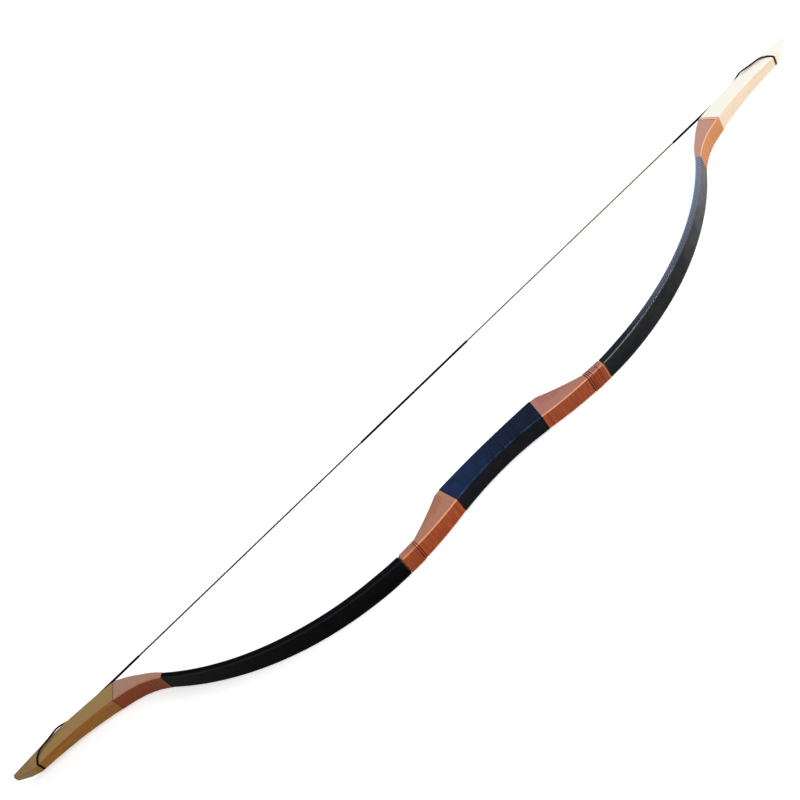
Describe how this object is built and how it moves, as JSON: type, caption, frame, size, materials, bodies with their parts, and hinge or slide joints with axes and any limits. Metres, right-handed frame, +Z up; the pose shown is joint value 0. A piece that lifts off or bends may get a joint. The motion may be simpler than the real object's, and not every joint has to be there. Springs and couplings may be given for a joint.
{
  "type": "recurve bow",
  "caption": "Strung horse bow with a leather grip, thread wraps, two leather-covered limbs that flex, stiff wooden siyahs and a served string.",
  "frame": {"origin": "On the surface that the bow lies on, under the middle of its box, with the grip's middle at X 0.", "axes": "+X along the bow towards the upper siyah, -Y the way the arrow leaves, +Y the string side, +Z up across the width of the limbs."},
  "size_m": [1.267, 0.1946, 0.0285],
  "materials": {
    "core_wood": "bare wood, hidden",
    "siyah_wood": "pale oiled wood",
    "laminate": "bare laminate, hidden",
    "thread": "waxed brown thread",
    "grip_leather": "creased navy-black leather",
    "limb_leather": "lacquered scale-pattern leather",
    "strand": "waxed tan strands",
    "serving": "black serving thread"
  },
  "bodies": {
    "handle": {"riser_core": "core_wood", "grip_cover": "grip_leather", "upper_handle_wrap": "thread", "lower_handle_wrap": "thread", "upper_neck_binding": "thread", "lower_neck_binding": "thread"},
    "upper_limb": {"upper_limb_core": "core_wood", "upper_back_strip": "laminate", "upper_belly_strip": "laminate", "upper_limb_cover": "limb_leather"},
    "lower_limb": {"lower_limb_core": "core_wood", "lower_back_strip": "laminate", "lower_belly_strip": "laminate", "lower_limb_cover": "limb_leather"},
    "upper_tip": {"upper_joint_wrap": "thread", "upper_siyah": "siyah_wood"},
    "lower_tip": {"lower_joint_wrap": "thread", "lower_siyah": "siyah_wood"},
    "upper_string_half": {"upper_string": "strand", "upper_centre_serving": "serving", "upper_end_serving": "serving", "upper_string_loop": "serving"},
    "lower_string_half": {"lower_string": "strand", "lower_centre_serving": "serving", "lower_end_serving": "serving", "lower_string_loop": "serving"}
  },
  "joints": [
    {"name": "upper_limb_flex", "type": "hinge", "parent": "handle", "child": "upper_limb", "pos_m": [0.15251, -0.0921, 0.01425], "axis": [0, 0, 1], "range_deg": [0, 18], "stiffness_Nm_per_rad": 240, "deforming": ["upper_limb_core", "upper_back_strip", "upper_belly_strip", "upper_limb_cover"]},
    {"name": "upper_tip_flex", "type": "hinge", "parent": "upper_limb", "child": "upper_tip", "pos_m": [0.42962, 0.03361, 0.01425], "axis": [0, 0, 1], "range_deg": [0, 18], "stiffness_Nm_per_rad": 120},
    {"name": "upper_string_swing", "type": "hinge", "parent": "upper_tip", "child": "upper_string_half", "pos_m": [0.6015, 0.079, 0.01425], "axis": [0, 0, 1], "range_deg": [-70.4, 0], "deforming": ["upper_string", "upper_centre_serving", "upper_end_serving", "upper_string_loop"]},
    {"name": "lower_limb_flex", "type": "hinge", "parent": "handle", "child": "lower_limb", "pos_m": [-0.15251, -0.0921, 0.01425], "axis": [0, 0, -1], "range_deg": [0, 18], "stiffness_Nm_per_rad": 240, "deforming": ["lower_limb_core", "lower_back_strip", "lower_belly_strip", "lower_limb_cover"]},
    {"name": "lower_tip_flex", "type": "hinge", "parent": "lower_limb", "child": "lower_tip", "pos_m": [-0.42962, 0.03361, 0.01425], "axis": [0, 0, -1], "range_deg": [0, 18], "stiffness_Nm_per_rad": 120},
    {"name": "lower_string_swing", "type": "hinge", "parent": "lower_tip", "child": "lower_string_half", "pos_m": [-0.6015, 0.079, 0.01425], "axis": [0, 0, -1], "range_deg": [-70.4, 0], "deforming": ["lower_string", "lower_centre_serving", "lower_end_serving", "lower_string_loop"]}
  ],
  "couplings": [
    {"joint": "upper_tip_flex", "follows": "upper_limb_flex", "ratio": 1},
    {"joint": "upper_string_swing", "follows": "upper_limb_flex", "ratio": -3.91},
    {"joint": "lower_limb_flex", "follows": "upper_limb_flex", "ratio": 1},
    {"joint": "lower_tip_flex", "follows": "upper_limb_flex", "ratio": 1},
    {"joint": "lower_string_swing", "follows": "upper_limb_flex", "ratio": -3.91}
  ]
}
